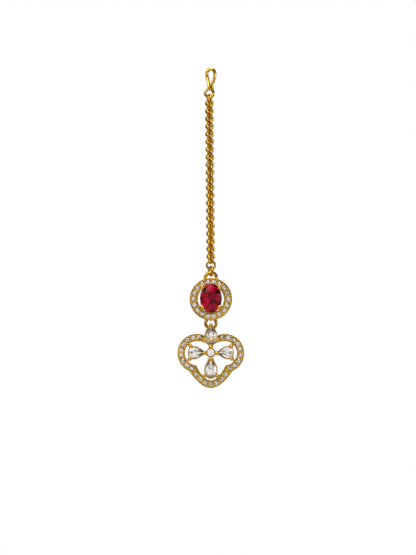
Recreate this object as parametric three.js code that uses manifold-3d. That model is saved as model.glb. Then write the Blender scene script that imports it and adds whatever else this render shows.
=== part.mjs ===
// Maang tikka: a forehead jewel that hangs from a wire hook in the hair.
// Millimetres, +Z up, front towards -Y. The wire, the chain and the rings hang in the plane Y = 0.
// The origin is the inner top of the hook's loop, where the jewel hangs.
import * as THREE from 'three';
import { ConvexGeometry } from 'three/addons/geometries/ConvexGeometry.js';
import { mergeVertices } from 'three/addons/utils/BufferGeometryUtils.js';
import Module from 'manifold-3d';

const radians = THREE.MathUtils.degToRad;
const EDGE_ON = radians(90);

// Clearance, solder and balance
const GAP = 0.04; // between rings that hang in each other, and round a stone in its seat
const FUSE = 0.05; // how far neighbouring chain links run into each other
const SET_BACK = 0.25; // the halo, drop ring and trefoil hang this far behind the chain, for balance

// Hook: a wire bent into a narrow loop. Its free leg passes in front of the closed eye at its foot.
const HOOK = { wire: 0.66, wireSides: 8, steps: 32 };
const HOOK_TIP = [-0.31, -0.67, -3.5];
const HOOK_LOOP = [
  [-0.36, -0.62, -3.1], [-0.46, -0.43, -2.45], [-0.62, -0.14, -1.7], [-0.79, 0, -0.75],
  [-0.6, 0, 0.04], [0, 0, HOOK.wire / 2], [0.6, 0, 0.04], [0.79, 0, -0.75], [0.6, 0, -1.7],
  [0.29, 0, -2.7], [0.26, 0, -3.3],
];
const EYE = { ring: 0.82, wire: 0.56, sides: 12, x: -0.3, z: -4.42, joins: [radians(38), radians(12)] };

// Chain: round links, every other one edge on, all turned a little about the chain's own axis
const CHAIN = { length: 34.8, turn: radians(25) };
const LINK = { ring: 0.5435, wire: 0.38, sides: 10, wireSides: 5, widen: 1.2 };
const END_LINK = { ring: 0.8, wire: 0.46, sides: 12 }; // the larger link at each end
const END_RING = { wire: 0.48, sides: 12 };

// Halo: a flat band of stones round the oval stone, which stands proud of it
const HALO = { outer: 4.2, inner: 2.58, front: -1.15, back: -0.35, chamfer: 0.14, sides: 48 };
const HALO_STONES = { count: 18, circle: 3.45 };
const TOP_RING = { ring: 1.1, wire: 0.7, sides: 16, rise: 4.17 };
const TOP_RING_SOLDER = { angle: radians(-40), radius: 0.28 };
const RUBY = { width: 4.2, length: 5.7, front: -1.4, lift: 0.16 };
const RUBY_CUT = { table: 0.6, star: 0.82, crown: 0.55, girdle: 0.1, pavilion: 1.75 };
const RUBY_PRONG = { x: 1.7, top: 2.1, bottom: -1.75, bead: 0.38, proud: 0.1, post: 0.22, sunk: 0.25 };
const RUBY_ARM = { outShare: 1.5, upShare: 1.3, sunk: 0.3 }; // from a prong's bead out to the halo
const GALLERY = { width: 2.6, length: 3.9, wire: 0.5, front: -0.65, back: -0.2, points: 24 };
const GALLERY_SHARES = { footShare: 0.6, riseShare: 0.72, anchorShare: 1.15 }; // of the prong's own place

// Drop ring: a jump ring, face on, in a small loop behind the halo's lower edge
const DROP_RING = { ring: 1.04, wire: 0.64, sides: 16, inset: 0.44 };
const SMALL_LOOP = { wire: 0.36, sides: 12 };

// Trefoil: two round side lobes and a pointed bottom lobe, measured from the centre stone
const TREFOIL = { front: -0.45, back: 0.9, chamfer: 0.12, drop: 4.77 };
const LOBE = { x: 2.77, z: -0.12, outer: 3.84, inner: 2.38 };
const LOBE_ANGLES = { cusp: radians(-66.4), innerCusp: radians(-87), innerEnd: radians(101) };
const WAIST = [[1.45, 2.18], [0.8, 1.72], [0.4, 1.38], [0.3, 0.95]]; // the opening's edge by the top pear
const POINT = { bottom: -7.01, pull: 2.02, innerBottom: -5.48, innerPull: 1.54 };
const LOBE_STONES = { count: 9, circle: 3.12, first: radians(81.7), step: radians(21.25) };
const POINT_STONES = { eachSide: 3, step: 1.2, bottom: -6.24, pull: 1.82, endX: 3.52, endZ: -3.31 };

// The five inner stones of the trefoil: four pears and a round one
const STONE_FRONT = -0.95; // the front edge of their girdles
const PEAR = { width: 2.4, length: 3.8, sideLength: 3.36, taper: 0.7, sideTaper: 1 };
const PEAR_CUT = { table: 0.55, star: 0.8, crown: 0.3, girdle: 0.08, pavilion: 0.95 };
const PEAR_TIPS = { top: 5.3, side: 1.15, bottom: -1.3 }; // distances from the centre stone
const CENTRE_STONE = { width: 1.7 };
const CENTRE_CUT = { table: 0.58, star: 0.82, crown: 0.26, girdle: 0.06, pavilion: 0.7 };
const COLLAR = { out: 0.13, inside: -0.18, front: -0.92, back: -0.62, points: 16 };
const BEAD = { centre: 0.44, pear: 0.42, tip: 0.42, y: -1.02, post: 0.2, postEnd: 0.05 };
const CENTRE_BEADS = [[0, 1.11], [-1.2, -0.08], [1.2, -0.08], [0, -1.31]];
const PEAR_BEADS = [[1.35, 2.39], [1.38, -4.65], [4.05, 1.33], [4.14, -1.18]]; // and their mirror images
const ARM = { length: 1, radius: 0.2, y: -0.1 };
const SHOULDER = { reach: 0.5, radius: 0.26, y: -0.78, z: -1.4 }; // a bar behind the lowest centre bead
const TIP_BEAD = { y: -0.7, z: 5.4 };

// Accent stones, set low in the bands
const ACCENT = { radius: 0.46, table: 0.27, height: 0.24, proud: 0.13, facets: 8 };

const wasm = await Module();
wasm.setup();

// Solids

function solid(geometry) {
  geometry.deleteAttribute('normal');
  geometry.deleteAttribute('uv');
  const merged = mergeVertices(geometry);
  return new wasm.Manifold(new wasm.Mesh({
    numProp: 3,
    vertProperties: new Float32Array(merged.attributes.position.array),
    triVerts: new Uint32Array(merged.index.array),
  }));
}

function fuse(solids) {
  return solids.reduce((whole, next) => whole.add(next));
}

function geometryOf(body) {
  const finest = 0.008;
  const mesh = body.simplify(finest).getMesh();
  const geometry = new THREE.BufferGeometry();
  geometry.setAttribute('position', new THREE.BufferAttribute(mesh.vertProperties, 3));
  geometry.setIndex(new THREE.BufferAttribute(mesh.triVerts, 1));
  geometry.computeVertexNormals();
  return geometry;
}

// A round wire ring with the axis Y, turned about Z. A corner of the wire's section points inwards.
function wireRing({ ring, wire, sides, wireSides = 6, widen = 1 }, x, z, turn = 0) {
  const profile = [];
  for (let i = 0; i <= wireSides; i += 1) {
    const angle = ((i % wireSides) / wireSides) * 2 * Math.PI;
    profile.push(new THREE.Vector2(ring - (wire / 2) * Math.cos(angle), -(wire / 2) * Math.sin(angle)));
  }
  const geometry = new THREE.LatheGeometry(profile, sides);
  geometry.scale(widen, 1, 1);
  geometry.rotateZ(turn);
  geometry.translate(x, 0, z);
  return solid(geometry);
}

function ball(radius, x, y, z) {
  const geometry = new THREE.IcosahedronGeometry(radius, 1);
  geometry.translate(x, y, z);
  return solid(geometry);
}

// A straight round bar between two points
function bar(from, to, radius) {
  const start = new THREE.Vector3(...from);
  const along = new THREE.Vector3(...to).sub(start);
  const length = along.length();
  const barSides = 6;
  const geometry = new THREE.CylinderGeometry(radius, radius, length, barSides);
  geometry.translate(0, length / 2, 0);
  const own = new THREE.Vector3(0, 1, 0);
  geometry.applyQuaternion(new THREE.Quaternion().setFromUnitVectors(own, along.normalize()));
  geometry.translate(start.x, start.y, start.z);
  return solid(geometry);
}

// A shape drawn in X and Z, given thickness in Y
function plate(shape, { front, back, chamfer = 0 }) {
  const curveSegments = 8;
  const geometry = new THREE.ExtrudeGeometry(shape, {
    depth: back - front - 2 * chamfer,
    bevelEnabled: chamfer > 0,
    bevelThickness: chamfer,
    bevelSize: chamfer,
    bevelOffset: -chamfer,
    bevelSegments: 1,
    curveSegments,
  });
  geometry.rotateX(EDGE_ON);
  geometry.translate(0, back - chamfer, 0);
  return solid(geometry);
}

// Outlines: a place on the outline for an angle from +Z, with the outline grown by a margin

function oval(width, length) {
  return (angle, margin) => [
    (width / 2 + margin) * Math.sin(angle),
    (length / 2 + margin) * Math.cos(angle),
  ];
}

// A pear has its tip towards +Z and its widest place at Z = 0, at this share of its length
const widest = (taper) => taper / (taper + 0.5);

function pear(length, taper) {
  const bulge = (share) => share ** taper * Math.sqrt(1 - share);
  return (angle, margin) => {
    const share = (1 - Math.cos(angle)) / 2;
    const swell = bulge(share) / bulge(widest(taper));
    const side = Math.sign(Math.sin(angle)) * (PEAR.width / 2 + margin) * swell;
    return [side, (length + 2 * margin) * (widest(taper) - share)];
  };
}

function outlineShape(outline, margin, count) {
  const points = [];
  for (let i = 0; i < count; i += 1) {
    points.push(new THREE.Vector2(...outline((-i / count) * 2 * Math.PI, margin)));
  }
  return new THREE.Shape(points);
}

// A cut stone with its table towards -Y and the front edge of its girdle at Y = 0
function cutStone({ outline, cut }, margin = 0) {
  const points = [];
  const level = (share, y, count, phase) => {
    for (let i = 0; i < count; i += 1) {
      const [x, z] = outline(((i + phase) / count) * 2 * Math.PI, margin);
      points.push(new THREE.Vector3(x * share, y, z * share));
    }
  };
  const facets = 8;
  level(cut.table, -cut.crown - margin, facets, 0);
  level(cut.star, -cut.crown / 2 - margin, facets, 0.5);
  level(1, -margin, 2 * facets, 0);
  level(1, cut.girdle, 2 * facets, 0);
  points.push(new THREE.Vector3(0, cut.girdle + cut.pavilion + margin, 0));
  return new ConvexGeometry(points);
}

// Each inner stone with its place and its turn about Y
const RUBY_STONE = {
  name: 'ruby',
  outline: oval(RUBY.width, RUBY.length),
  cut: RUBY_CUT,
  place: [0, RUBY.front, RUBY.lift],
  turn: 0,
};

function uprightPear(name, tipZ) {
  const { length, taper } = PEAR;
  const place = [0, STONE_FRONT, tipZ - length * widest(taper)];
  return { name, outline: pear(length, taper), cut: PEAR_CUT, place, turn: 0 };
}

function sidePear(name, side) {
  const { sideLength, sideTaper } = PEAR;
  const place = [side * (PEAR_TIPS.side + sideLength * widest(sideTaper)), STONE_FRONT, 0];
  return { name, outline: pear(sideLength, sideTaper), cut: PEAR_CUT, place, turn: -side * EDGE_ON };
}

const TREFOIL_STONES = [
  uprightPear('pear_top', PEAR_TIPS.top),
  sidePear('pear_left', -1),
  sidePear('pear_right', 1),
  uprightPear('pear_bottom', PEAR_TIPS.bottom),
  {
    name: 'centre_stone',
    outline: oval(CENTRE_STONE.width, CENTRE_STONE.width),
    cut: CENTRE_CUT,
    place: [0, STONE_FRONT, 0],
    turn: 0,
  },
];

function seat(stone) {
  const geometry = cutStone(stone, GAP);
  geometry.rotateY(stone.turn);
  geometry.translate(...stone.place);
  return solid(geometry);
}

// The metal wall round an inner stone
function collar(stone) {
  const shape = outlineShape(stone.outline, COLLAR.out, COLLAR.points);
  shape.holes.push(outlineShape(stone.outline, COLLAR.inside, COLLAR.points));
  const [x, , z] = stone.place;
  const geometry = new THREE.ExtrudeGeometry(shape, {
    depth: COLLAR.back - COLLAR.front,
    bevelEnabled: false,
  });
  geometry.rotateX(EDGE_ON);
  geometry.rotateY(stone.turn);
  geometry.translate(x, COLLAR.back, z);
  return solid(geometry);
}

// An accent stone whose crown stands proud of its band's front face
function accentStone(x, z, front) {
  const { radius, table, height, proud, facets } = ACCENT;
  const geometry = new THREE.CylinderGeometry(table, radius, height, facets);
  geometry.rotateX(Math.PI);
  geometry.translate(x, front - proud + height / 2, z);
  return solid(geometry);
}

// Hook

function hookWire() {
  const { wire, wireSides, steps } = HOOK;
  const joins = EYE.joins.map((angle) => [
    EYE.x + EYE.ring * Math.cos(angle),
    0,
    EYE.z + EYE.ring * Math.sin(angle),
  ]);
  const bend = [HOOK_TIP, ...HOOK_LOOP, ...joins];
  const path = new THREE.CatmullRomCurve3(bend.map((place) => new THREE.Vector3(...place)));
  const section = outlineShape(oval(wire, wire), 0, wireSides);
  return solid(new THREE.ExtrudeGeometry(section, { extrudePath: path, steps }));
}

function hook() {
  const roundTip = ball(HOOK.wire / 2, ...HOOK_TIP);
  return fuse([hookWire(), roundTip, wireRing(EYE, EYE.x, EYE.z)]);
}

// Chain: each height follows from the piece above it, so every ring hangs with the same gap

const pitch = 2 * LINK.ring - LINK.wire + FUSE;
const joinStep = END_LINK.ring + LINK.ring - (LINK.wire + END_LINK.wire) / 2 + FUSE;
const topLinkZ = EYE.z - EYE.ring + (EYE.wire + END_LINK.wire) / 2 + GAP - END_LINK.ring;
const firstSmallZ = topLinkZ - joinStep;
const endLinks = 2 * (END_LINK.ring + END_LINK.wire / 2 + joinStep);
const linkCount = Math.round((CHAIN.length - endLinks) / pitch) + 1;
const lastLinkZ = firstSmallZ - (linkCount - 1) * pitch - joinStep;

function chain() {
  const links = [
    wireRing(END_LINK, EYE.x, topLinkZ, EDGE_ON + CHAIN.turn),
    wireRing(END_LINK, 0, lastLinkZ),
  ];
  for (let i = 0; i < linkCount; i += 1) {
    const x = EYE.x * (1 - (i + 1) / (linkCount + 1));
    const edgeOn = i % 2 === 1;
    const turn = CHAIN.turn + (edgeOn ? EDGE_ON : 0);
    links.push(wireRing(LINK, x, firstSmallZ - i * pitch, turn));
  }
  return fuse(links);
}

const endRingSize = (END_LINK.wire + TOP_RING.wire + 3 * GAP + END_RING.wire) / 2;
const endRing = wireRing({ ...END_RING, ring: endRingSize }, 0, 0, EDGE_ON + CHAIN.turn);
const lastLinkFoot = lastLinkZ - END_LINK.ring;
const endRingZ = lastLinkFoot + (END_LINK.wire + END_RING.wire) / 2 + GAP - endRingSize;
const endRingFoot = endRingZ - endRingSize;
const topRingZ = endRingFoot + (END_RING.wire + TOP_RING.wire) / 2 + GAP - TOP_RING.ring;

// Halo, measured from its own centre

const haloZ = topRingZ - TOP_RING.rise;
const hangZ = DROP_RING.inset - HALO.outer; // the drop ring's top wire
const loopSize = (DROP_RING.wire + SMALL_LOOP.wire) / 2 + GAP;

// The small loop that holds the drop ring, or hangs on it
function smallLoop(z) {
  return wireRing({ ...SMALL_LOOP, ring: loopSize }, 0, z, EDGE_ON);
}

function haloBand() {
  const { outer, inner, front, back, chamfer, sides } = HALO;
  const profile = [
    [inner, front + chamfer],
    [inner + chamfer, front],
    [outer - chamfer, front],
    [outer, front + chamfer],
    [outer, back - chamfer],
    [outer - chamfer, back],
    [inner + chamfer, back],
    [inner, back - chamfer],
    [inner, front + chamfer],
  ];
  const points = profile.map(([radius, y]) => new THREE.Vector2(radius, y));
  return solid(new THREE.LatheGeometry(points, sides));
}

function haloStones() {
  const stones = [];
  for (let i = 0; i < HALO_STONES.count; i += 1) {
    const angle = (i / HALO_STONES.count) * 2 * Math.PI;
    const x = HALO_STONES.circle * Math.cos(angle);
    const z = HALO_STONES.circle * Math.sin(angle);
    stones.push(accentStone(x, z, HALO.front));
  }
  return stones;
}

function topRing() {
  const { angle, radius } = TOP_RING_SOLDER;
  const solderZ = TOP_RING.rise + TOP_RING.ring * Math.sin(angle);
  const solder = [-1, 1].map((side) => {
    const x = side * TOP_RING.ring * Math.cos(angle);
    return bar([x, HALO.back - radius, solderZ], [x, -SET_BACK, solderZ], radius);
  });
  return [wireRing(TOP_RING, 0, TOP_RING.rise).translate([0, -SET_BACK, 0]), ...solder];
}

// The oval stone's open basket: a small oval gallery, and four prongs that end in beads
function rubyBasket() {
  const { width, length, wire, front, back, points } = GALLERY;
  const shape = outlineShape(oval(width, length), wire / 2, points);
  shape.holes.push(outlineShape(oval(width, length), -wire / 2, points));
  const gallery = plate(shape, { front, back }).translate([0, 0, RUBY.lift]);
  const parts = [gallery];
  const middle = (front + back) / 2;
  const { bead, proud, post, sunk } = RUBY_PRONG;
  const { footShare, riseShare, anchorShare } = GALLERY_SHARES;
  const { outShare, upShare } = RUBY_ARM;
  const armEndY = HALO.front + RUBY_ARM.sunk;
  const shoulderY = HALO.back - sunk;
  for (const x of [-RUBY_PRONG.x, RUBY_PRONG.x]) {
    for (const height of [RUBY_PRONG.top, RUBY_PRONG.bottom]) {
      const z = height + RUBY.lift;
      parts.push(ball(bead, x, RUBY.front - proud, z));
      parts.push(bar([x, RUBY.front, z], [x, shoulderY, z], post));
      parts.push(bar([x, RUBY.front, z], [x * outShare, armEndY, z * upShare], post));
      const foot = [x * footShare, middle, z * riseShare];
      parts.push(bar(foot, [x * anchorShare, shoulderY, z * anchorShare], post));
    }
  }
  return parts;
}

function haloFrame() {
  const metal = fuse([haloBand(), ...haloStones(), ...topRing(), ...rubyBasket(), smallLoop(hangZ)]);
  return metal.subtract(seat(RUBY_STONE));
}

// Trefoil, measured from its centre stone

function trefoilShape() {
  const { x, z, outer, inner } = LOBE;
  const { cusp, innerCusp, innerEnd } = LOBE_ANGLES;
  const top = Math.PI - Math.acos(x / outer); // where the two lobes meet
  const shape = new THREE.Shape();
  shape.absarc(x, z, outer, cusp, top, false);
  shape.absarc(-x, z, outer, Math.PI - top, Math.PI - cusp, false);
  shape.quadraticCurveTo(-POINT.pull, POINT.bottom, 0, POINT.bottom);
  const cuspX = x + outer * Math.cos(cusp);
  const cuspZ = z + outer * Math.sin(cusp);
  shape.quadraticCurveTo(POINT.pull, POINT.bottom, cuspX, cuspZ);

  const opening = new THREE.Path();
  opening.absarc(x, z, inner, innerCusp, innerEnd, false);
  WAIST.forEach(([edgeX, edgeZ]) => opening.lineTo(edgeX, edgeZ));
  WAIST.toReversed().forEach(([edgeX, edgeZ]) => opening.lineTo(-edgeX, edgeZ));
  opening.absarc(-x, z, inner, Math.PI - innerEnd, Math.PI - innerCusp, false);
  opening.quadraticCurveTo(-POINT.innerPull, POINT.innerBottom, 0, POINT.innerBottom);
  const innerX = x + inner * Math.cos(innerCusp);
  const innerZ = z + inner * Math.sin(innerCusp);
  opening.quadraticCurveTo(POINT.innerPull, POINT.innerBottom, innerX, innerZ);
  shape.holes.push(opening);
  return shape;
}

function trefoilStones() {
  const places = [];
  for (let i = 0; i < LOBE_STONES.count; i += 1) {
    const angle = LOBE_STONES.first + i * LOBE_STONES.step;
    const x = LOBE.x - LOBE_STONES.circle * Math.cos(angle);
    const z = LOBE.z + LOBE_STONES.circle * Math.sin(angle);
    places.push([x, z], [-x, z]);
  }
  const { eachSide, step, bottom, pull, endX, endZ } = POINT_STONES;
  const line = new THREE.QuadraticBezierCurve(
    new THREE.Vector2(0, bottom),
    new THREE.Vector2(pull, bottom),
    new THREE.Vector2(endX, endZ),
  );
  places.push([0, bottom]);
  for (let i = 1; i <= eachSide; i += 1) {
    const { x, y } = line.getPointAt((i * step) / line.getLength());
    places.push([x, y], [-x, y]);
  }
  return places.map(([x, z]) => accentStone(x, z, TREFOIL.front));
}

// Prongs: a bead over the stone's edge, a post behind it, and an arm from the post into the band
function trefoilProngs() {
  const { reach: half, radius, y: shoulderY, z: shoulderZ } = SHOULDER;
  const parts = [bar([-half, shoulderY, shoulderZ], [half, shoulderY, shoulderZ], radius)];
  for (const [x, z] of CENTRE_BEADS) {
    parts.push(ball(BEAD.centre, x, BEAD.y, z));
    parts.push(bar([x, BEAD.y, z], [x, BEAD.postEnd, z], BEAD.post));
  }
  for (const [reach, z] of PEAR_BEADS) {
    const outwards = new THREE.Vector2(reach - LOBE.x, z - LOBE.z).setLength(ARM.length);
    for (const side of [-1, 1]) {
      const x = side * reach;
      const armEnd = [side * (reach + outwards.x), ARM.y, z + outwards.y];
      parts.push(ball(BEAD.pear, x, BEAD.y, z));
      parts.push(bar([x, BEAD.y, z], [x, BEAD.postEnd, z], BEAD.post));
      parts.push(bar([x, ARM.y, z], armEnd, ARM.radius));
    }
  }
  return parts;
}

function trefoilFrame() {
  const band = plate(trefoilShape(), TREFOIL);
  const tipBead = ball(BEAD.tip, 0, TIP_BEAD.y, TIP_BEAD.z);
  const collars = TREFOIL_STONES.map(collar);
  const bail = smallLoop(TREFOIL.drop);
  const metal = fuse([band, bail, ...trefoilStones(), ...collars, ...trefoilProngs(), tipBead]);
  return TREFOIL_STONES.reduce((frame, stone) => frame.subtract(seat(stone)), metal);
}

// Materials

const goldPlate = () => new THREE.MeshStandardMaterial({ color: 0xd8a22c, roughness: 0.2, metalness: 1 });
const redStone = () => new THREE.MeshStandardMaterial({ color: 0x8e0f24, roughness: 0.08, metalness: 0 });
const clearStone = () => new THREE.MeshStandardMaterial({ color: 0xe4e1da, roughness: 0.08, metalness: 0 });

// The jewel, piece by piece from the hook down

function piece(name, geometry, material) {
  const mesh = new THREE.Mesh(geometry, material);
  mesh.name = name;
  return mesh;
}

function stonePiece(stone, material) {
  const mesh = piece(stone.name, cutStone(stone), material);
  mesh.position.set(...stone.place);
  mesh.rotation.y = stone.turn;
  return mesh;
}

const jewel = new THREE.Group();
jewel.add(piece('hook', geometryOf(hook()), goldPlate()));
jewel.add(piece('chain', geometryOf(chain()), goldPlate()));

const endRingPiece = piece('end_ring', geometryOf(endRing), goldPlate());
endRingPiece.position.z = endRingZ;
jewel.add(endRingPiece);

const halo = new THREE.Group();
halo.position.set(0, SET_BACK, haloZ);
halo.add(piece('halo_frame', geometryOf(haloFrame()), goldPlate()));
halo.add(stonePiece(RUBY_STONE, redStone()));
jewel.add(halo);

const dropRingZ = haloZ + hangZ - DROP_RING.ring;
const dropRingPiece = piece('drop_ring', geometryOf(wireRing(DROP_RING, 0, 0)), goldPlate());
dropRingPiece.position.set(0, SET_BACK, dropRingZ);
jewel.add(dropRingPiece);

const drop = new THREE.Group();
drop.position.set(0, SET_BACK, dropRingZ - DROP_RING.ring - TREFOIL.drop);
drop.add(piece('trefoil_frame', geometryOf(trefoilFrame()), goldPlate()));
for (const stone of TREFOIL_STONES) {
  drop.add(stonePiece(stone, clearStone()));
}
jewel.add(drop);

export default jewel;
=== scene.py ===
# %% [markdown]
# A forehead jewel: a wire hook, a rolo chain, a round halo with an oval red stone, and
# a three-lobed drop of clear stones. All of it is under 7 cm long. Its nodes give every
# piece its place, so this script only has to make the surfaces finer: round wire,
# raised rims, beads and facets.

# %% Load the frame
import math
import bpy
from mathutils import Matrix, Vector


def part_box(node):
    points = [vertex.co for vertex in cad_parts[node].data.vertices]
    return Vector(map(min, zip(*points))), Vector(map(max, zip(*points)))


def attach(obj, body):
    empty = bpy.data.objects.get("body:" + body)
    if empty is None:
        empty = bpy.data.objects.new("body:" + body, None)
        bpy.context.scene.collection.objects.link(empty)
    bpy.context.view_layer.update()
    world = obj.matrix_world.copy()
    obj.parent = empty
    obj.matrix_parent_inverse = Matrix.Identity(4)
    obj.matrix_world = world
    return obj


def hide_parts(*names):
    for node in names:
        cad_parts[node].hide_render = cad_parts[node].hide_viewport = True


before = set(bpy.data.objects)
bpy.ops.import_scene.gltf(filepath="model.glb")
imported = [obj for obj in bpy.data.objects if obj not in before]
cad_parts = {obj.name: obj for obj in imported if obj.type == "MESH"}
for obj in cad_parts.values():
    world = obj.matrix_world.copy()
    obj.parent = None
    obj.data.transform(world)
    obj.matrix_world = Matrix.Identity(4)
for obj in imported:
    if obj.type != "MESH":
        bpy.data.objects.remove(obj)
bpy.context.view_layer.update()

# %% [markdown]
# Jewellery is measured in millimetres and Blender works in metres, so one factor does the
# change. A ring node's box gives its centre, and the rings place everything that hangs.
# The oval stone sits a little above the middle of its halo, which its lift takes off again.

# %% Places taken from the frame
MM = 0.001
RUBY_LIFT = 0.16


def middle(node):
    low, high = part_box(node)
    return (low + high) / 2


def radius_up(node):
    low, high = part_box(node)
    return (high.z - low.z) / 2


HALO = middle("ruby") - Vector((0, 0, RUBY_LIFT * MM))
HALO.y = middle("drop_ring").y
DROP = middle("centre_stone")
DROP.y = HALO.y
print("halo centre", HALO, "drop centre", DROP)

# %% [markdown]
# Every piece is finished in the same way. Its parts are joined, its place goes into its
# mesh, and it is tied to the body that carries it.
# The small tools below do that, so that each later cell only has to describe a form.

# %% Small tools for all pieces
def deselect():
    if bpy.context.mode != "OBJECT":
        bpy.ops.object.mode_set(mode="OBJECT")
    bpy.ops.object.select_all(action="DESELECT")


def pick(piece):
    deselect()
    piece.select_set(True)
    bpy.context.view_layer.objects.active = piece


def join(parts, name):
    pick(parts[0])
    for part in parts:
        part.select_set(True)
    bpy.ops.object.join()
    whole = bpy.context.active_object
    bpy.ops.object.transform_apply(location=True, rotation=True, scale=True)
    whole.name = name
    whole.data.name = name
    return whole


def copy_to(part, place, turn=None):
    twin = part.copy()
    twin.data = part.data.copy()
    bpy.context.scene.collection.objects.link(twin)
    twin.matrix_world = Matrix.Translation(place) @ (turn or Matrix.Identity(4)) @ part.matrix_world
    return twin


def place_vertices(piece, points):
    for vertex, point in zip(piece.data.vertices, points):
        vertex.co = point


def smooth(piece, degrees=35):
    pick(piece)
    bpy.ops.object.shade_smooth_by_angle(angle=math.radians(degrees))


def carry(piece, body, slot, material, *nodes):
    piece.data.materials.clear()
    piece.data.materials.append(material)
    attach(piece, body)
    if nodes:
        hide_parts(*nodes)
    print(piece.name, len(piece.data.polygons), "faces on", body)

# %% [markdown]
# The metal is brass with a warm yellow gold plate, polished bright. A polished metal shows
# its surroundings more than itself, so its colour comes from the base colour and its life
# from the studio. Handling leaves faint clouds in the polish and soft hairlines, which a
# slow noise in the roughness and a very fine bump give. Both are put in one node group,
# because the thick wire and the pierced frames want them at different strengths. A noise
# seldom leaves the middle of its range, so that middle is stretched to the whole of it.

# %% A node group for worn polish
def number_in(group, name, value):
    socket = group.interface.new_socket(name, in_out="INPUT", socket_type="NodeSocketFloat")
    socket.default_value = value


def number_out(group, name):
    group.interface.new_socket(name, in_out="OUTPUT", socket_type="NodeSocketFloat")


def worn_polish():
    group = bpy.data.node_groups.new("worn_polish", "ShaderNodeTree")
    number_in(group, "Scale", 900)
    number_in(group, "Bright", 0.1)
    number_in(group, "Dull", 0.25)
    for name in ("Mask", "Roughness", "Height"):
        number_out(group, name)
    nodes, links = group.nodes, group.links
    given = nodes.new("NodeGroupInput")
    result = nodes.new("NodeGroupOutput")
    place = nodes.new("ShaderNodeTexCoord")
    clouds = nodes.new("ShaderNodeTexNoise")
    clouds.inputs["Detail"].default_value = 4
    hairlines = nodes.new("ShaderNodeTexNoise")
    hairlines.inputs["Detail"].default_value = 2
    finer = nodes.new("ShaderNodeMath")
    finer.operation = "MULTIPLY"
    finer.inputs[1].default_value = 7
    spread = nodes.new("ShaderNodeMapRange")
    spread.inputs["From Min"].default_value = 0.3
    spread.inputs["From Max"].default_value = 0.7
    links.new(place.outputs["Object"], clouds.inputs["Vector"])
    links.new(place.outputs["Object"], hairlines.inputs["Vector"])
    links.new(given.outputs["Scale"], clouds.inputs["Scale"])
    links.new(given.outputs["Scale"], finer.inputs[0])
    links.new(finer.outputs[0], hairlines.inputs["Scale"])
    links.new(clouds.outputs["Fac"], spread.inputs["Value"])
    links.new(given.outputs["Bright"], spread.inputs["To Min"])
    links.new(given.outputs["Dull"], spread.inputs["To Max"])
    links.new(clouds.outputs["Fac"], result.inputs["Mask"])
    links.new(spread.outputs["Result"], result.inputs["Roughness"])
    links.new(hairlines.outputs["Fac"], result.inputs["Height"])
    return group


POLISH = worn_polish()
print("worn polish", len(POLISH.nodes), "nodes")

# %% Gold plate
def gold(name, bright, dull, light, deep):
    material = bpy.data.materials.new(name)
    material.use_nodes = True
    nodes, links = material.node_tree.nodes, material.node_tree.links
    surface = nodes["Principled BSDF"]
    surface.inputs["Metallic"].default_value = 1
    polish = nodes.new("ShaderNodeGroup")
    polish.node_tree = POLISH
    polish.inputs["Bright"].default_value = bright
    polish.inputs["Dull"].default_value = dull
    tone = nodes.new("ShaderNodeMix")
    tone.data_type = "RGBA"
    tone.inputs["A"].default_value = (*light, 1)
    tone.inputs["B"].default_value = (*deep, 1)
    bump = nodes.new("ShaderNodeBump")
    bump.inputs["Strength"].default_value = 0.05
    bump.inputs["Distance"].default_value = 0.01 * MM
    links.new(polish.outputs["Mask"], tone.inputs["Factor"])
    links.new(tone.outputs["Result"], surface.inputs["Base Color"])
    links.new(polish.outputs["Roughness"], surface.inputs["Roughness"])
    links.new(polish.outputs["Height"], bump.inputs["Height"])
    links.new(bump.outputs["Normal"], surface.inputs["Normal"])
    return material


gold_wire = gold(
    "gold_wire", bright=0.05, dull=0.14, light=(0.93, 0.61, 0.1), deep=(0.78, 0.46, 0.05))
gold_links = gold(
    "gold_links", bright=0.08, dull=0.2, light=(0.86, 0.55, 0.08), deep=(0.45, 0.24, 0.02))
gold_frame = gold(
    "gold_frame", bright=0.05, dull=0.14, light=(0.93, 0.59, 0.08), deep=(0.6, 0.33, 0.03))
print("gold plate for", gold_wire.name, gold_links.name, gold_frame.name)

# %% [markdown]
# A cut stone throws light back from many small mirrors, so each facet has its own tone.
# Tracing that through stones one millimetre wide needs far more light paths than a picture
# this size can spend. So the stones are part glass and part body colour, and the flashes are
# painted light: a node group paints them into the base colour from two patterns. The first
# gives every facet one painted tone, by reading a noise at the facet's own normal: flat facets
# have one normal each, so the noise is constant on each of them and jumps at every edge. The
# second is a Voronoi pattern through the stone, whose cells are painted reflections that
# stand for the far facets that show through the near ones.

# %% A node group for painted facet flashes
def painted_facet_flash():
    group = bpy.data.node_groups.new("painted_facet_flash", "ShaderNodeTree")
    number_in(group, "Variety", 4)
    number_in(group, "Mirrors per metre", 2000)
    number_in(group, "Depth", 0.5)
    number_out(group, "Painted flash")
    nodes, links = group.nodes, group.links
    given = nodes.new("NodeGroupInput")
    result = nodes.new("NodeGroupOutput")
    place = nodes.new("ShaderNodeTexCoord")
    painted_tones = nodes.new("ShaderNodeTexNoise")
    painted_tones.inputs["Detail"].default_value = 0
    mirrors = nodes.new("ShaderNodeTexVoronoi")
    both = nodes.new("ShaderNodeMix")
    spread = nodes.new("ShaderNodeMapRange")
    spread.inputs["From Min"].default_value = 0.25
    spread.inputs["From Max"].default_value = 0.75
    links.new(place.outputs["Normal"], painted_tones.inputs["Vector"])
    links.new(place.outputs["Object"], mirrors.inputs["Vector"])
    links.new(given.outputs["Variety"], painted_tones.inputs["Scale"])
    links.new(given.outputs["Mirrors per metre"], mirrors.inputs["Scale"])
    links.new(given.outputs["Depth"], both.inputs["Factor"])
    links.new(painted_tones.outputs["Fac"], both.inputs["A"])
    links.new(mirrors.outputs["Color"], both.inputs["B"])
    links.new(both.outputs["Result"], spread.inputs["Value"])
    links.new(spread.outputs["Result"], result.inputs["Painted flash"])
    return group


PAINTED_FLASH = painted_facet_flash()
print("facet flash", len(PAINTED_FLASH.nodes), "nodes")
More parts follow.
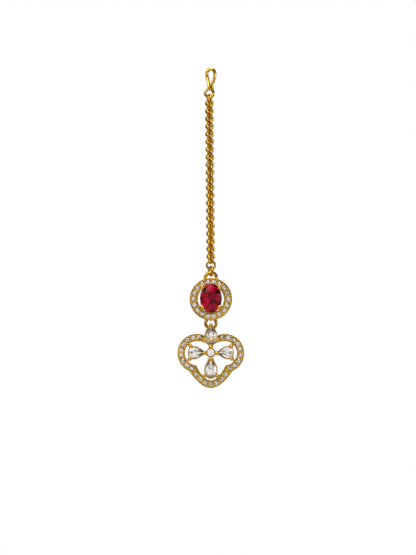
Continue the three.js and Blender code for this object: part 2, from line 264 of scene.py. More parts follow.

# %% [markdown]
# The stones differ in three things: how much is clear glass, how bright their gloss is, and
# the dark, middle and bright tone that the painted flashes choose from. In the clear stones
# all three are painted reflection and painted shade; in the red stone the flashes are painted
# over its own deep red. One function takes these, and the red stone, the larger clear ones
# and the small ones each get their own values.

# %% Stones
def gem(name, index, glass, shine, painted_tones, steps, mirrors, depth):
    material = bpy.data.materials.new(name)
    material.use_nodes = True
    nodes, links = material.node_tree.nodes, material.node_tree.links
    surface = nodes["Principled BSDF"]
    surface.inputs["Transmission Weight"].default_value = glass
    surface.inputs["IOR"].default_value = index
    surface.inputs["Specular IOR Level"].default_value = shine
    flash = nodes.new("ShaderNodeGroup")
    flash.node_tree = PAINTED_FLASH
    flash.inputs["Mirrors per metre"].default_value = mirrors
    flash.inputs["Depth"].default_value = depth
    ramp = nodes.new("ShaderNodeValToRGB")
    stops = ramp.color_ramp.elements
    stops[1].position = steps[1]
    stops.new(steps[0])
    for stop, tone in zip(stops, painted_tones):
        stop.color = (*tone, 1)
    polish = nodes.new("ShaderNodeMapRange")
    polish.inputs["To Min"].default_value = 0.02
    polish.inputs["To Max"].default_value = 0.08
    links.new(flash.outputs["Painted flash"], ramp.inputs["Fac"])
    links.new(flash.outputs["Painted flash"], polish.inputs["Value"])
    # The base colour gets the painted flash: painted reflections and painted shade from the ramp's
    # tones.
    links.new(ramp.outputs["Color"], surface.inputs["Base Color"])
    links.new(polish.outputs["Result"], surface.inputs["Roughness"])
    return material


# Tones of the painted flashes: painted reflection and shade in the clear stones, the red stone's own
# deep red with painted red flashes.
RUBY_BODY_AND_PAINTED_TONES = ((0.02, 0.0, 0.002), (0.14, 0.0, 0.007), (0.8, 0.0, 0.04))
CLEAR_PAINTED_TONES = ((0.5, 0.45, 0.38), (1.0, 0.96, 0.9), (1.0, 1.0, 0.97))
SMALL_PAINTED_TONES = ((0.12, 0.11, 0.09), (0.93, 0.88, 0.82), (1.0, 0.98, 0.95))
ruby_red = gem(
    "ruby_red", index=1.77, glass=0.1, shine=0.07,
    painted_tones=RUBY_BODY_AND_PAINTED_TONES, steps=(0.45, 0.9), mirrors=800, depth=0.45)
zirconia = gem(
    "zirconia", index=1.65, glass=0.92, shine=0.4,
    painted_tones=CLEAR_PAINTED_TONES, steps=(0.3, 0.7), mirrors=2400, depth=0.6)
small_zirconia = gem(
    "small_zirconia", index=2.1, glass=0.3, shine=0.4,
    painted_tones=SMALL_PAINTED_TONES, steps=(0.4, 0.7), mirrors=3200, depth=0.6)
print("stone finishes", ruby_red.name, zirconia.name, small_zirconia.name)

# %% [markdown]
# Every ring in the jewel is round wire bent to a circle, which is a torus. The links of the
# chain, the jump rings and the hook's eye differ only in size and turn. A bevelled curve
# would give the same ring, but a torus takes both of its radii at once. A link that is wider
# than high is a torus stretched sideways.

# %% A wire ring
def wire_ring(centre, ring, wire, turn=0.0, widen=1.0, sides=36, wire_sides=12):
    bpy.ops.mesh.primitive_torus_add(
        major_radius=ring * MM, minor_radius=wire / 2 * MM,
        major_segments=sides, minor_segments=wire_sides,
        location=(0, 0, 0), rotation=(math.radians(90), 0, 0))
    part = bpy.context.active_object
    bpy.ops.object.transform_apply(rotation=True)
    part.scale = (widen, 1, 1)
    bpy.ops.object.transform_apply(scale=True)
    part.rotation_euler = (0, 0, turn)
    part.location = centre
    bpy.ops.object.transform_apply(location=True, rotation=True)
    return part


EDGE_ON = math.radians(90)
LEAN = math.radians(25)

# %% [markdown]
# The hook is one wire, bent to a narrow loop. Its long leg runs down to the eye. Its short
# leg passes in front of the eye and ends free, so it can be pushed through a lock of hair.
# A curve with a round bevel is the natural way to bend wire, and it turns to a mesh when
# its bends are right.

# %% Hook
HOOK_WIRE = 0.66
HOOK_EYE = {"x": -0.3, "z": -4.42, "ring": 0.82, "wire": 0.56}
HOOK_BENDS = [
    (-0.31, -0.67, -3.5), (-0.36, -0.62, -3.1), (-0.46, -0.43, -2.45), (-0.62, -0.14, -1.7),
    (-0.79, 0, -0.75), (-0.6, 0, 0.04), (0, 0, 0.33), (0.6, 0, 0.04), (0.79, 0, -0.75),
    (0.6, 0, -1.7), (0.29, 0, -2.7), (0.26, 0, -3.3), (0.35, 0, -3.92), (0.5, 0, -4.25)]


def bent_wire(bends, wire):
    bpy.ops.curve.primitive_bezier_curve_add(location=(0, 0, 0))
    curve = bpy.context.active_object
    line = curve.data.splines[0]
    line.bezier_points.add(len(bends) - 2)
    for point, place in zip(line.bezier_points, bends):
        point.co = Vector(place) * MM
        point.handle_left_type = point.handle_right_type = "AUTO"
    curve.data.bevel_depth = wire / 2 * MM
    curve.data.bevel_resolution = 5
    curve.data.resolution_u = 8
    curve.data.use_fill_caps = True
    pick(curve)
    bpy.ops.object.convert(target="MESH")
    return bpy.context.active_object


def bead(radius, centre, rings=12):
    bpy.ops.mesh.primitive_uv_sphere_add(
        segments=2 * rings, ring_count=rings, radius=radius * MM, location=centre)
    return bpy.context.active_object


hook = join([
    bent_wire(HOOK_BENDS, HOOK_WIRE),
    bead(HOOK_WIRE / 2, Vector(HOOK_BENDS[0]) * MM),
    wire_ring((HOOK_EYE["x"] * MM, 0, HOOK_EYE["z"] * MM), HOOK_EYE["ring"], HOOK_EYE["wire"]),
], "hook_wire")
smooth(hook)
carry(hook, "chain", "gold_plate", gold_wire, "hook")

# %% [markdown]
# A rolo chain is a row of equal round links, every other one turned a quarter. The chain
# hangs with all its links turned a little, as a twisted chain does. One link is made, and
# the rest are copies of it, each let down by the same step. An array modifier with a turned
# offset could do this, but it would turn the chain's slight lean round as well, so a loop
# places the copies.

# %% Chain
chain_low, chain_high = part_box("chain")
LINK = {"ring": 0.5435, "wire": 0.52, "widen": 1.2, "count": 42, "step": 0.757}
END_LINK = {"ring": 0.8, "wire": 0.46}

end_drop = (END_LINK["ring"] + END_LINK["wire"] / 2) * MM
top_link = chain_high.z - end_drop
last_link = chain_low.z + end_drop
first_link = (top_link + last_link) / 2 + (LINK["count"] - 1) / 2 * LINK["step"] * MM

links = [
    wire_ring((HOOK_EYE["x"] * MM, 0, top_link), END_LINK["ring"], END_LINK["wire"], EDGE_ON + LEAN),
    wire_ring((0, 0, last_link), END_LINK["ring"], END_LINK["wire"]),
]
one_link = wire_ring((0, 0, 0), LINK["ring"], LINK["wire"], LEAN, LINK["widen"], sides=28, wire_sides=10)
for number in range(LINK["count"]):
    x = HOOK_EYE["x"] * (1 - (number + 1) / (LINK["count"] + 1))
    quarter = Matrix.Rotation(EDGE_ON if number % 2 else 0, 4, "Z")
    place = Vector((x * MM, 0, first_link - number * LINK["step"] * MM))
    links.append(copy_to(one_link, place, quarter))
bpy.data.objects.remove(one_link)
chain = join(links, "chain_links")
smooth(chain)
carry(chain, "chain", "gold_plate", gold_links, "chain")

# %% [markdown]
# Two jump rings let the pendant move: a small one seen edge on above the halo, and a
# larger one seen face on below it. Each keeps the outer size of its node in the frame, so
# only the thickness of its wire is chosen here.

# %% Jump rings
END_RING_WIRE = 0.48
DROP_RING_WIRE = 0.64


def wire_centre(node, wire):
    return radius_up(node) / MM - wire / 2


end_ring = wire_ring(
    middle("end_ring"), wire_centre("end_ring", END_RING_WIRE), END_RING_WIRE, EDGE_ON + LEAN)
end_ring = join([end_ring], "end_jump_ring")
smooth(end_ring)
carry(end_ring, "end_ring", "gold_plate", gold_links, "end_ring")

drop_ring = wire_ring(
    middle("drop_ring"), wire_centre("drop_ring", DROP_RING_WIRE), DROP_RING_WIRE, sides=48)
drop_ring = join([drop_ring], "drop_jump_ring")
smooth(drop_ring)
carry(drop_ring, "drop_ring", "gold_plate", gold_links, "drop_ring")

# %% [markdown]
# The halo and the trefoil are made alike: a flat band with a thin wall along each edge and
# a row of stones sunk between the walls. Two outlines with equal numbers of points are
# bridged to a flat ring of faces, which is extruded to its thickness. An inset leaves the
# walls standing, and the faces between them are pushed in to make the channel. A boolean
# could cut the channel too, but an inset follows both edges by itself. A bevel then rounds
# the edges, because sharp gold edges don't catch the light.

# %% A channel-set band
BAND_EDGE = {"wall": 0.24, "channel": 0.12, "soften": 0.16}
FLAT_ENOUGH = 0.9
SAME_LEVEL = 0.001 * MM


def loop_of(points):
    bpy.ops.mesh.primitive_circle_add(vertices=len(points), radius=MM)
    part = bpy.context.active_object
    place_vertices(part, [(x * MM, 0, z * MM) for x, z in points])
    return part


def select_front(piece, y):
    for face in piece.data.polygons:
        flat = abs(face.normal.y) > FLAT_ENOUGH
        face.select = flat and abs(face.center.y - y) < SAME_LEVEL


def band(outer, inner, front, back, wall, channel, soften):
    piece = join([loop_of(outer), loop_of(inner)], "band")
    bpy.ops.object.mode_set(mode="EDIT")
    bpy.ops.mesh.select_mode(type="EDGE")
    bpy.ops.mesh.select_all(action="SELECT")
    bpy.ops.mesh.bridge_edge_loops()
    bpy.ops.mesh.select_all(action="SELECT")
    bpy.ops.mesh.extrude_region_move(TRANSFORM_OT_translate={"value": (0, (front - back) * MM, 0)})
    bpy.ops.mesh.select_all(action="SELECT")
    bpy.ops.transform.translate(value=(0, back * MM, 0))
    bpy.ops.mesh.normals_make_consistent(inside=False)
    bpy.ops.object.mode_set(mode="OBJECT")
    if channel:
        bpy.ops.object.mode_set(mode="EDIT")
        bpy.ops.mesh.select_mode(type="FACE")
        bpy.ops.mesh.select_all(action="DESELECT")
        bpy.ops.object.mode_set(mode="OBJECT")
        select_front(piece, front * MM)
        bpy.ops.object.mode_set(mode="EDIT")
        bpy.ops.mesh.inset(thickness=wall * MM, depth=0)
        bpy.ops.mesh.extrude_region_move(TRANSFORM_OT_translate={"value": (0, channel * MM, 0)})
        bpy.ops.object.mode_set(mode="OBJECT")
    rounding = piece.modifiers.new("rounded_edges", "BEVEL")
    rounding.width = soften * MM
    rounding.segments = 3
    rounding.limit_method = "ANGLE"
    rounding.angle_limit = math.radians(40)
    bpy.ops.object.modifier_apply(modifier=rounding.name)
    return piece

# %% [markdown]
# The small stones are all one cut, a round brilliant with eight main facets. A cut stone
# is the hull of its facet corners: an eight-sided table, eight star points half way down
# the crown, a sixteen-sided girdle and a pointed foot. So rings of points are placed at
# those levels and the hull is drawn round them. Each level is a share of the outline, a
# depth, a number of corners and a shift by part of a corner. The larger stones use the same
# tool with their own outlines.

# %% A cut stone
def round_outline(radius):
    return lambda angle: (radius * math.sin(angle), radius * math.cos(angle))


def cut_stone(outline, cut, name):
    levels = [
        (cut["table"], -cut["crown"], 8, 0.0),
        (cut["star"], -cut["crown"] * 0.5, 8, 0.5),
        (1.0, 0.0, 16, 0.0),
        (1.0, cut["girdle"], 16, 0.0),
        (0.45, cut["girdle"] + cut["pavilion"] * 0.62, 8, 0.5),
        (0.04, cut["girdle"] + cut["pavilion"], 8, 0.0),
    ]
    parts = []
    for share, y, count, phase in levels:
        bpy.ops.mesh.primitive_circle_add(vertices=count, radius=MM)
        part = bpy.context.active_object
        places = []
        for corner in range(count):
            x, z = outline((corner + phase) / count * 2 * math.pi)
            places.append((x * share * MM, y * MM, z * share * MM))
        place_vertices(part, places)
        parts.append(part)
    stone = join(parts, name)
    bpy.ops.object.mode_set(mode="EDIT")
    bpy.ops.mesh.select_all(action="SELECT")
    bpy.ops.mesh.convex_hull()
    bpy.ops.object.mode_set(mode="OBJECT")
    return stone

# %% Small stone
SMALL_RADIUS = 0.48
SMALL_CUT = {"table": 0.56, "star": 0.82, "crown": 0.18, "girdle": 0.03, "pavilion": 0.3}
small_stone = cut_stone(round_outline(SMALL_RADIUS), SMALL_CUT, "small_stone")
print("small stone", len(small_stone.data.polygons), "facets")

# %% Rows of stones and beads
def set_stones(places, y, name):
    stones = [copy_to(small_stone, Vector((x * MM, y * MM, z * MM))) for x, z in places]
    return join(stones, name)


def set_beads(places, radius, y):
    first = bead(radius, (0, 0, 0), 6)
    beads = [copy_to(first, Vector((x * MM, y * MM, z * MM))) for x, z in places]
    bpy.data.objects.remove(first)
    return join(beads, "beads")

# %% [markdown]
# The halo: eighteen stones on a circle. Between two neighbours, a pair of tiny beads raised
# from the metal, one at each wall, holds both of them. Stones and beads stand on three
# circles, so one function that spaces points on a circle places them all.

# %% Halo band and its stones
HALO_BAND = {"outer": 4.2, "inner": 2.58, "front": -1.15, "back": -0.35, "corners": 96}
HALO_ROWS = {"stones": 3.42, "outer_beads": 3.86, "inner_beads": 2.98, "count": 18}
SMALL_BEAD = 0.24
STONE_SUNK = 0.03
BEAD_SUNK = 0.05


def circle_points(radius, count, phase=0.0):
    turns = [(number + phase) / count * 2 * math.pi for number in range(count)]
    return [(radius * math.cos(turn), radius * math.sin(turn)) for turn in turns]


halo_band = band(
    circle_points(HALO_BAND["outer"], HALO_BAND["corners"]),
    circle_points(HALO_BAND["inner"], HALO_BAND["corners"]),
    HALO_BAND["front"], HALO_BAND["back"], **BAND_EDGE)
halo_bead_places = circle_points(HALO_ROWS["outer_beads"], HALO_ROWS["count"], 0.5)
halo_bead_places += circle_points(HALO_ROWS["inner_beads"], HALO_ROWS["count"], 0.5)
halo_beads = set_beads(halo_bead_places, SMALL_BEAD, HALO_BAND["front"] + BEAD_SUNK)
halo_stone_places = circle_points(HALO_ROWS["stones"], HALO_ROWS["count"])
halo_stones = set_stones(halo_stone_places, HALO_BAND["front"] + STONE_SUNK, "halo_stones")
print("halo", len(halo_stone_places), "stones", len(halo_bead_places), "beads")

# %% [markdown]
# The oval stone sits in an open basket: a small oval ring behind it, and four claws that
# rise past the stone's edge and end in beads. From each claw, a strut runs back to the oval
# ring and an arm runs out to the halo. All are straight wires between two named places.

# %% Oval stone's basket
RUBY_FRONT = -1.4
GALLERY = {"ring": 1.3, "wire": 0.5, "y": -0.42, "stretch": 1.5}
CLAW = {"x": 1.7, "top": 2.26, "bottom": -1.59, "bead": 0.46, "proud": 0.1, "post": 0.22, "foot": -0.6}
ARM = {"sunk": 0.2, "out": 1.36, "up": 1.24, "end": -0.85, "radius": 0.2}
STRUT = {"out": 0.6, "up": 0.72, "end": 1.15}


def straight_wire(start, end, radius):
    start, end = Vector(start) * MM, Vector(end) * MM
    along = end - start
    bpy.ops.mesh.primitive_cylinder_add(
        vertices=12, radius=radius * MM, depth=along.length, location=(start + end) / 2,
        rotation=along.to_track_quat("Z", "Y").to_euler())
    return bpy.context.active_object


def ruby_claw(x, z):
    arm_start = (x, RUBY_FRONT + ARM["sunk"], z)
    arm_end = (x * ARM["out"], ARM["end"], z * ARM["up"])
    strut_start = (x * STRUT["out"], GALLERY["y"], z * STRUT["up"])
    strut_end = (x * STRUT["end"], CLAW["foot"], z * STRUT["end"])
    return [
        bead(CLAW["bead"], (x * MM, (RUBY_FRONT - CLAW["proud"]) * MM, z * MM)),
        straight_wire((x, RUBY_FRONT, z), (x, CLAW["foot"], z), CLAW["post"]),
        straight_wire(arm_start, arm_end, ARM["radius"]),
        straight_wire(strut_start, strut_end, CLAW["post"]),
    ]


gallery_centre = (0, GALLERY["y"] * MM, RUBY_LIFT * MM)
basket = [wire_ring(gallery_centre, GALLERY["ring"], GALLERY["wire"], sides=48)]
basket[0].data.transform(Matrix.Diagonal((1, 1, GALLERY["stretch"], 1)))
for x in (-CLAW["x"], CLAW["x"]):
    for z in (CLAW["top"], CLAW["bottom"]):
        basket += ruby_claw(x, z)
print("basket", len(basket), "parts")

# %% [markdown]
# The halo hangs by a ring of its own, soldered to its top edge, and carries the drop by a
# small loop behind its foot. All of this is one soldered piece, so it becomes one object.
# The loop goes where the wire of the drop ring passes, which the frame gives.

# %% Halo's rings
LOOP = {"ring": 0.54, "wire": 0.36}
TOP_RING = {"z": 4.17, "ring": 1.1, "wire": 0.7}
FOOT = {"x": 0.84, "z": 3.46, "front": -0.55, "back": -0.25, "radius": 0.28}


def foot_of_top_ring(x):
    return straight_wire((x, FOOT["front"], FOOT["z"]), (x, FOOT["back"], FOOT["z"]), FOOT["radius"])


hang_z = (middle("drop_ring").z + radius_up("drop_ring") - DROP_RING_WIRE / 2 * MM - HALO.z) / MM
top_ring = wire_ring((0, -HALO.y, TOP_RING["z"] * MM), TOP_RING["ring"], TOP_RING["wire"], sides=48)
feet = [foot_of_top_ring(x) for x in (-FOOT["x"], FOOT["x"])]
back_loop = wire_ring((0, 0, hang_z * MM), LOOP["ring"], LOOP["wire"], EDGE_ON)
halo = join([halo_band, halo_beads, *basket, top_ring, *feet, back_loop], "halo_setting")
for piece in (halo, halo_stones):
    piece.data.transform(Matrix.Translation(HALO))
smooth(halo)
carry(halo, "cluster", "gold_plate", gold_frame, "halo_frame")
carry(halo_stones, "cluster", "clear_stone", small_zirconia)

# %% [markdown]
# The oval stone has a wide flat table and a deep foot, as coloured stones usually have. It
# is cut by the same tool, from an oval outline.

# %% Oval red stone
def oval_outline(width, length):
    return lambda angle: (width / 2 * math.sin(angle), length / 2 * math.cos(angle))


RUBY_SIZE = {"width": 4.4, "length": 5.8}
RUBY_CUT = {"table": 0.6, "star": 0.82, "crown": 0.55, "girdle": 0.1, "pavilion": 1.75}
ruby = cut_stone(oval_outline(**RUBY_SIZE), RUBY_CUT, "oval_ruby")
ruby.data.transform(Matrix.Translation(HALO + Vector((0, RUBY_FRONT * MM, RUBY_LIFT * MM))))
carry(ruby, "cluster", "red_stone", ruby_red, "ruby")

# %% [markdown]
# The trefoil's band runs round two side lobes and a blunt point. Its edges are arcs and one
# soft curve, laid out here as points, as many inside as outside, so that the bridge between
# them stays square. At the top the inner edge turns down beside the upper pear, to a waist.

# %% Arcs and soft corners
LOBE = {"x": 2.77, "z": -0.12, "outer": 3.84, "inner": 2.38}


def arc(x, z, radius, first, last, count):
    turns = [math.radians(first + (last - first) * step / count) for step in range(count)]
    return [(x + radius * math.cos(turn), z + radius * math.sin(turn)) for turn in turns]


def soft_corner(start, pull, end, count):
    points = []
    for step in range(count):
        t = step / count
        points.append(tuple(
            (1 - t) ** 2 * a + 2 * t * (1 - t) * b + t ** 2 * c for a, b, c in zip(start, pull, end)))
    return points


def mirrored(half):
    return half + [(-x, z) for x, z in reversed(half[1:-1])]

# %% Trefoil outlines
WAIST = [
    (0, 0.95), (0.3, 0.95), (0.35, 1.16), (0.4, 1.38), (0.6, 1.55),
    (0.8, 1.72), (1.12, 1.95), (1.45, 2.18), (1.9, 2.2)]


def lobe_and_point(radius, first, cusp, bottom, pull, lobe_steps, point_steps=20):
    x, z = LOBE["x"], LOBE["z"]
    lobe = arc(x, z, radius, first, cusp, lobe_steps)
    turn = math.radians(cusp)
    cusp_place = (x + radius * math.cos(turn), z + radius * math.sin(turn))
    return lobe + soft_corner(cusp_place, (pull, bottom), (0, bottom), point_steps) + [(0, bottom)]


lobes_meet = 180 - math.degrees(math.acos(LOBE["x"] / LOBE["outer"]))
outer_half = lobe_and_point(
    LOBE["outer"], first=lobes_meet, cusp=-66.4, bottom=-7.01, pull=2.02, lobe_steps=57)
inner_half = WAIST + lobe_and_point(
    LOBE["inner"], first=101, cusp=-87, bottom=-5.48, pull=1.54, lobe_steps=48)
outer_line, inner_line = mirrored(outer_half), mirrored(inner_half)
print("trefoil outlines", len(outer_line), len(inner_line), "points")

# %% Trefoil band
TREFOIL_BAND = {"front": -0.45, "back": 0.9}
trefoil_band = band(outer_line, inner_line, TREFOIL_BAND["front"], TREFOIL_BAND["back"], **BAND_EDGE)
print("trefoil band", len(trefoil_band.data.polygons), "faces")

# %% [markdown]
# Its twenty-five stones follow the middle of the band: nine round each lobe, and seven
# round the point, spaced by distance along its curve. Equal steps of the curve's own
# parameter would crowd them near the tip, so the curve is walked in short steps instead.
# Small beads stand between the stones, and a larger one in each inner corner.

# %% Places along the trefoil
LOBE_ROWS = {"stones": 3.12, "outer_beads": 3.56, "inner_beads": 2.68}
SINGLE_BEADS = ((3.85, -3.95), (1.75, 2.75))
CORNER_BEAD = {"x": 3.05, "z": -3.6, "radius": 0.32}


def lobe_places(radius, count=9, first=81.7, step=21.25, start=0.0):
    turns = [math.radians(first + (number + start) * step) for number in range(count)]
    half = [(LOBE["x"] - radius * math.cos(turn), LOBE["z"] + radius * math.sin(turn)) for turn in turns]
    return half + [(-x, z) for x, z in half]


def point_places(distances, bottom, pull, end):
    fine = soft_corner((0, bottom), (pull, bottom), end, 200)
    half, walked = [], 0.0
    wanted = list(distances)
    for before, after in zip(fine, fine[1:]):
        walked += math.dist(before, after)
        if wanted and walked >= wanted[0]:
            half.append(after)
            wanted.pop(0)
    return half + [(-x, z) for x, z in half]

# %% Trefoil's small stones
stone_places = lobe_places(LOBE_ROWS["stones"]) + [(0, -6.24)]
stone_places += point_places((1.2, 2.4, 3.6), bottom=-6.24, pull=1.82, end=(3.52, -3.31))
trefoil_stones = set_stones(stone_places, TREFOIL_BAND["front"] + STONE_SUNK, "trefoil_stones")
print("trefoil", len(stone_places), "stones")

# %% Trefoil's beads
bead_y = TREFOIL_BAND["front"] + BEAD_SUNK
bead_places = lobe_places(LOBE_ROWS["outer_beads"], start=0.5, count=8)
bead_places += lobe_places(LOBE_ROWS["inner_beads"], start=0.5, count=8)
bead_places += point_places((0.6, 1.85, 3.1), bottom=-6.68, pull=1.95, end=(3.75, -3.7))
bead_places += point_places((0.6, 1.7, 2.8), bottom=-5.8, pull=1.68, end=(3.2, -3.1))
bead_places += [(side * x, z) for side in (-1, 1) for x, z in SINGLE_BEADS]
trefoil_beads = set_beads(bead_places, SMALL_BEAD, bead_y)
corners = [(side * CORNER_BEAD["x"], CORNER_BEAD["z"]) for side in (-1, 1)]
corner_beads = set_beads(corners, CORNER_BEAD["radius"], bead_y)
print("trefoil", len(bead_places) + len(corners), "beads")

# %% [markdown]
# A pear-cut stone is drawn by one outline: narrow at the tip, widest near the round end.
# Each pear has a thin metal wall round its edge, and so does the round stone in the middle.
# The wall is the same band as before, much smaller and without a channel. It runs between
# the stone's outline a little enlarged and the same outline a little shrunk.

# %% Outlines of the pears and the round stone
PEAR = {"width": 2.4, "upright": 3.8, "side": 3.36, "upright_taper": 0.7, "side_taper": 1.0}
CENTRE_RADIUS = 0.85


def widest(taper):
    return taper / (taper + 0.5)


def pear_outline(length, taper, margin=0.0):
    def bulge(share):
        return share ** taper * math.sqrt(max(0.0, 1 - share))

    def place(angle):
        share = (1 - math.cos(angle)) / 2
        swell = bulge(share) / bulge(widest(taper))
        side = math.copysign(PEAR["width"] / 2 + margin, math.sin(angle)) * swell
        return side, (length + 2 * margin) * (widest(taper) - share)
    return place


def outline_points(outline, count=48):
    return [outline(-corner / count * 2 * math.pi) for corner in range(count)]


def upright_pear(margin=0.0):
    return pear_outline(PEAR["upright"], PEAR["upright_taper"], margin)


def side_pear(margin=0.0):
    return pear_outline(PEAR["side"], PEAR["side_taper"], margin)


def round_centre(margin=0.0):
    return round_outline(CENTRE_RADIUS + margin)

# %% The wall round a stone
COLLAR = {"out": 0.13, "inside": -0.18, "front": -0.92, "back": -0.62, "soften": 0.03}


def collar(outline):
    outside, inside = outline_points(outline(COLLAR["out"])), outline_points(outline(COLLAR["inside"]))
    return band(outside, inside, COLLAR["front"], COLLAR["back"], 0, 0, COLLAR["soften"])

# %% The five stones
PEAR_CUT = {"table": 0.55, "star": 0.8, "crown": 0.3, "girdle": 0.08, "pavilion": 0.95}
CENTRE_CUT = {"table": 0.58, "star": 0.82, "crown": 0.26, "girdle": 0.06, "pavilion": 0.7}
STONE_FRONT = -0.95
TIPS = {"side": 1.15, "top": 5.3, "bottom": -1.3}

side_x = TIPS["side"] + PEAR["side"] * widest(PEAR["side_taper"])
below_tip = PEAR["upright"] * widest(PEAR["upright_taper"])
STONES = [
    ("pear_stone_top", "pear_top", upright_pear, (0, TIPS["top"] - below_tip), 0, PEAR_CUT),
    ("pear_stone_left", "pear_left", side_pear, (-side_x, 0), 90, PEAR_CUT),
    ("pear_stone_right", "pear_right", side_pear, (side_x, 0), -90, PEAR_CUT),
    ("pear_stone_bottom", "pear_bottom", upright_pear, (0, TIPS["bottom"] - below_tip), 0, PEAR_CUT),
    ("round_stone", "centre_stone", round_centre, (0, 0), 0, CENTRE_CUT),
]

collars = []
for name, node, outline, (x, z), turn, cut in STONES:
    at = Matrix.Translation((x * MM, 0, z * MM)) @ Matrix.Rotation(math.radians(turn), 4, "Y")
    stone = cut_stone(outline(), cut, name)
    stone.data.transform(Matrix.Translation(DROP) @ at @ Matrix.Translation((0, STONE_FRONT * MM, 0)))
    carry(stone, "drop", "clear_stone", zirconia, node)
    wall = collar(outline)
    wall.data.transform(at)
    collars.append(wall)

# %% [markdown]
# Twelve claws end in round beads: four round the middle stone, where they also hold the
# tips of the pears, and two at the round end of each pear, tied to the band by an arm. A
# short bar crosses behind the tip of the lower pear.

# %% Trefoil's claws
CENTRE_BEADS = [(0, 1.11), (-1.2, -0.08), (1.2, -0.08), (0, -1.31)]
PEAR_BEADS = [(1.35, 2.39), (1.38, -4.65), (4.05, 1.33), (4.14, -1.18)]
DROP_CLAW = {"bead": -1.02, "centre": 0.47, "pear": 0.44, "foot": 0.05, "arm": -0.1, "wire": 0.2}
CROSSBAR = {"reach": 0.7, "y": -0.78, "z": -1.36, "radius": 0.24}


def claw(x, z, radius):
    front, foot = (x, DROP_CLAW["bead"], z), (x, DROP_CLAW["foot"], z)
    return [bead(radius, Vector(front) * MM), straight_wire(front, foot, DROP_CLAW["wire"])]


claws = [straight_wire(
    (-CROSSBAR["reach"], CROSSBAR["y"], CROSSBAR["z"]),
    (CROSSBAR["reach"], CROSSBAR["y"], CROSSBAR["z"]), CROSSBAR["radius"])]
for x, z in CENTRE_BEADS:
    claws += claw(x, z, DROP_CLAW["centre"])
for reach, z in PEAR_BEADS:
    outwards = Vector((reach - LOBE["x"], z - LOBE["z"])).normalized()
    for side in (-1, 1):
        claws += claw(side * reach, z, DROP_CLAW["pear"])
        arm_start = (side * reach, DROP_CLAW["arm"], z)
        arm_end = (side * (reach + outwards.x), DROP_CLAW["arm"], z + outwards.y)
        claws.append(straight_wire(arm_start, arm_end, DROP_CLAW["wire"]))
print("claws", len(claws), "parts")

# %% [markdown]
# At the top of the trefoil, a small loop behind the upper pear hangs on the drop ring, and a
# bead covers it in front. With them the setting is complete and becomes one object.

# %% The drop in one piece
BAIL_Z = 4.77
TIP_BEAD = {"radius": 0.42, "y": -0.7, "z": 5.4}

bail = wire_ring((0, 0, BAIL_Z * MM), LOOP["ring"], LOOP["wire"], EDGE_ON)
tip_bead = bead(TIP_BEAD["radius"], (0, TIP_BEAD["y"] * MM, TIP_BEAD["z"] * MM))
trefoil_parts = [trefoil_band, trefoil_beads, corner_beads, *collars, *claws, bail, tip_bead]
trefoil = join(trefoil_parts, "trefoil_setting")
for piece in (trefoil, trefoil_stones):
    piece.data.transform(Matrix.Translation(DROP))
smooth(trefoil)
carry(trefoil, "drop", "gold_plate", gold_frame, "trefoil_frame")
carry(trefoil_stones, "drop", "clear_stone", small_zirconia)
bpy.data.objects.remove(small_stone)

# %% [markdown]
# A plain pale floor lies under the jewel, well below it, because the jewel hangs free.

# %% Floor
FLOOR_RADIUS = 0.2
FLOOR_Z = -0.12
bpy.ops.mesh.primitive_circle_add(
    vertices=96, radius=FLOOR_RADIUS, fill_type="NGON", location=(0, 0, FLOOR_Z))
floor = bpy.context.active_object
floor.name = "floor"
pale = bpy.data.materials.new("pale_floor")
pale.use_nodes = True
pale.node_tree.nodes["Principled BSDF"].inputs["Base Color"].default_value = (0.9, 0.9, 0.9, 1)
floor.data.materials.append(pale)
print("floor", FLOOR_RADIUS * 2, "m across")

# %% [markdown]
# The studio is dim, with six soft white panels: left, right, two behind, a weaker one
# straight ahead and a small bright one above. Low in front it is dark. Polished gold shows
# them as bright bands between brown ones. The panels are soft spots in the world's own
# shader, because a polished metal shows the shape of every lamp, and the edge of such a spot
# can be as soft as it needs. The camera, and light that passes through a stone, see plain
# white instead.

# %% Tools for soft light
world = bpy.data.worlds.new("studio")
bpy.context.scene.world = world
world.use_nodes = True
nodes, links = world.node_tree.nodes, world.node_tree.links


def soft_step(source, low, high, first, last):
    spread = nodes.new("ShaderNodeMapRange")
    spread.interpolation_type = "SMOOTHSTEP"
    for socket, value in zip(("From Min", "From Max", "To Min", "To Max"), (low, high, first, last)):
        spread.inputs[socket].default_value = value
    links.new(source, spread.inputs["Value"])
    return spread.outputs["Result"]


def times(first, second):
    product = nodes.new("ShaderNodeMath")
    product.operation = "MULTIPLY"
    links.new(first, product.inputs[0])
    links.new(second, product.inputs[1])
    return product.outputs[0]


def plus(first, second):
    total = nodes.new("ShaderNodeMath")
    links.new(first, total.inputs[0])
    links.new(second, total.inputs[1])
    return total.outputs[0]


direction = nodes.new("ShaderNodeTexCoord")
axes = nodes.new("ShaderNodeSeparateXYZ")
links.new(direction.outputs["Generated"], axes.inputs["Vector"])


def around(way, inner, outer, first, last):
    nearness = nodes.new("ShaderNodeVectorMath")
    nearness.operation = "DOT_PRODUCT"
    nearness.inputs[1].default_value = Vector(way).normalized()
    links.new(direction.outputs["Generated"], nearness.inputs[0])
    low, high = math.cos(math.radians(outer)), math.cos(math.radians(inner))
    return soft_step(nearness.outputs["Value"], low, high, last, first)

# %% Studio panels
# direction, half angles of the bright and the whole spot in degrees, strength
PANELS = [
    ((-0.7, -0.6, 0.35), 16, 30, 1.1),
    ((0.85, -0.45, 0.0), 10, 26, 1.0),
    ((-0.15, -0.75, 0.62), 14, 26, 2.6),
    ((0.0, -1.0, 0.0), 8, 22, 0.5),
    ((-0.3, 0.9, 0.3), 24, 50, 0.8),
    ((0.6, 0.7, -0.2), 10, 30, 0.5),
]
DARK_WAY = (0.05, -0.6, -0.78)

light = soft_step(axes.outputs["Y"], -0.6, 0.5, 0.05, 0.08)
for way, inner, outer, brightness in PANELS:
    light = plus(light, around(way, inner, outer, brightness, 0.0))
light = times(light, around(DARK_WAY, 36, 50, 0.0, 1.0))
print("studio", len(PANELS), "panels")

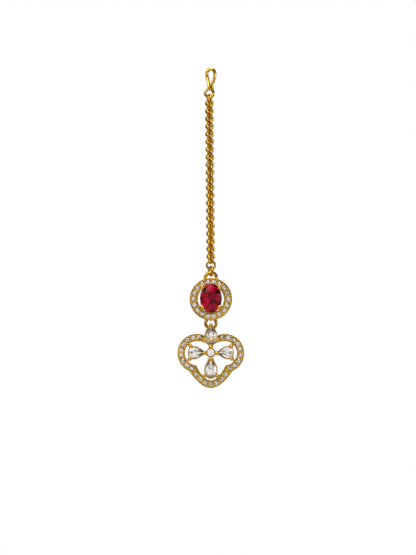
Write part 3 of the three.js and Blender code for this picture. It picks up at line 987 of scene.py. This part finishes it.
# %% What the metal sees and what the camera sees
studio = nodes["Background"]
studio.inputs["Color"].default_value = (1, 1, 1, 1)
links.new(light, studio.inputs["Strength"])
white = nodes.new("ShaderNodeBackground")
white.inputs["Color"].default_value = (1, 1, 1, 1)
path = nodes.new("ShaderNodeLightPath")
mix = nodes.new("ShaderNodeMixShader")
seen = nodes.new("ShaderNodeMath")
seen.operation = "MAXIMUM"
links.new(path.outputs["Is Camera Ray"], seen.inputs[0])
links.new(path.outputs["Is Transmission Ray"], seen.inputs[1])
links.new(seen.outputs[0], mix.inputs["Fac"])
links.new(studio.outputs["Background"], mix.inputs[1])
links.new(white.outputs["Background"], mix.inputs[2])
links.new(mix.outputs["Shader"], nodes["World Output"].inputs["Surface"])
print("world", len(nodes), "nodes")

# %% [markdown]
# Three small area lamps give the shadows and the sparks that a world light alone is too
# even for. Each is turned to the middle of the jewel.

# %% Soft lamps
def softbox(name, place, aim, size, power):
    bpy.ops.object.light_add(type="AREA", location=place)
    lamp = bpy.context.active_object
    lamp.name = name
    lamp.data.size = size
    lamp.data.energy = power
    lamp.rotation_euler = (Vector(aim) - Vector(place)).to_track_quat("-Z", "Y").to_euler()
    print(name, power, "W")


LOOK_AT = (0, 0, -0.04)
softbox("lamp_left", (-0.36, -0.3, 0.25), LOOK_AT, size=0.12, power=0.25)
softbox("lamp_right", (0.4, -0.2, -0.02), LOOK_AT, size=0.12, power=0.2)
softbox("lamp_top", (0.05, -0.05, 0.4), LOOK_AT, size=0.2, power=0.8)

# %% [markdown]
# The camera stands level with the middle of the jewel and far back, so nothing is drawn
# out by perspective. Its lens follows from the height that the picture takes in.

# %% Camera
VIEW_HEIGHT = 0.1099
VIEW_X = -0.00057
VIEW_Z = -0.0409
DISTANCE = 0.7
bpy.ops.object.camera_add(location=(VIEW_X, -DISTANCE, VIEW_Z), rotation=(math.radians(90), 0, 0))
camera = bpy.context.active_object
camera.data.sensor_fit = "VERTICAL"
camera.data.sensor_height = 24
camera.data.lens = camera.data.sensor_height * DISTANCE / VIEW_HEIGHT
camera.data.clip_start = 0.01
bpy.context.scene.camera = camera
bpy.context.scene.view_settings.view_transform = "Standard"
print("lens", round(camera.data.lens, 1))
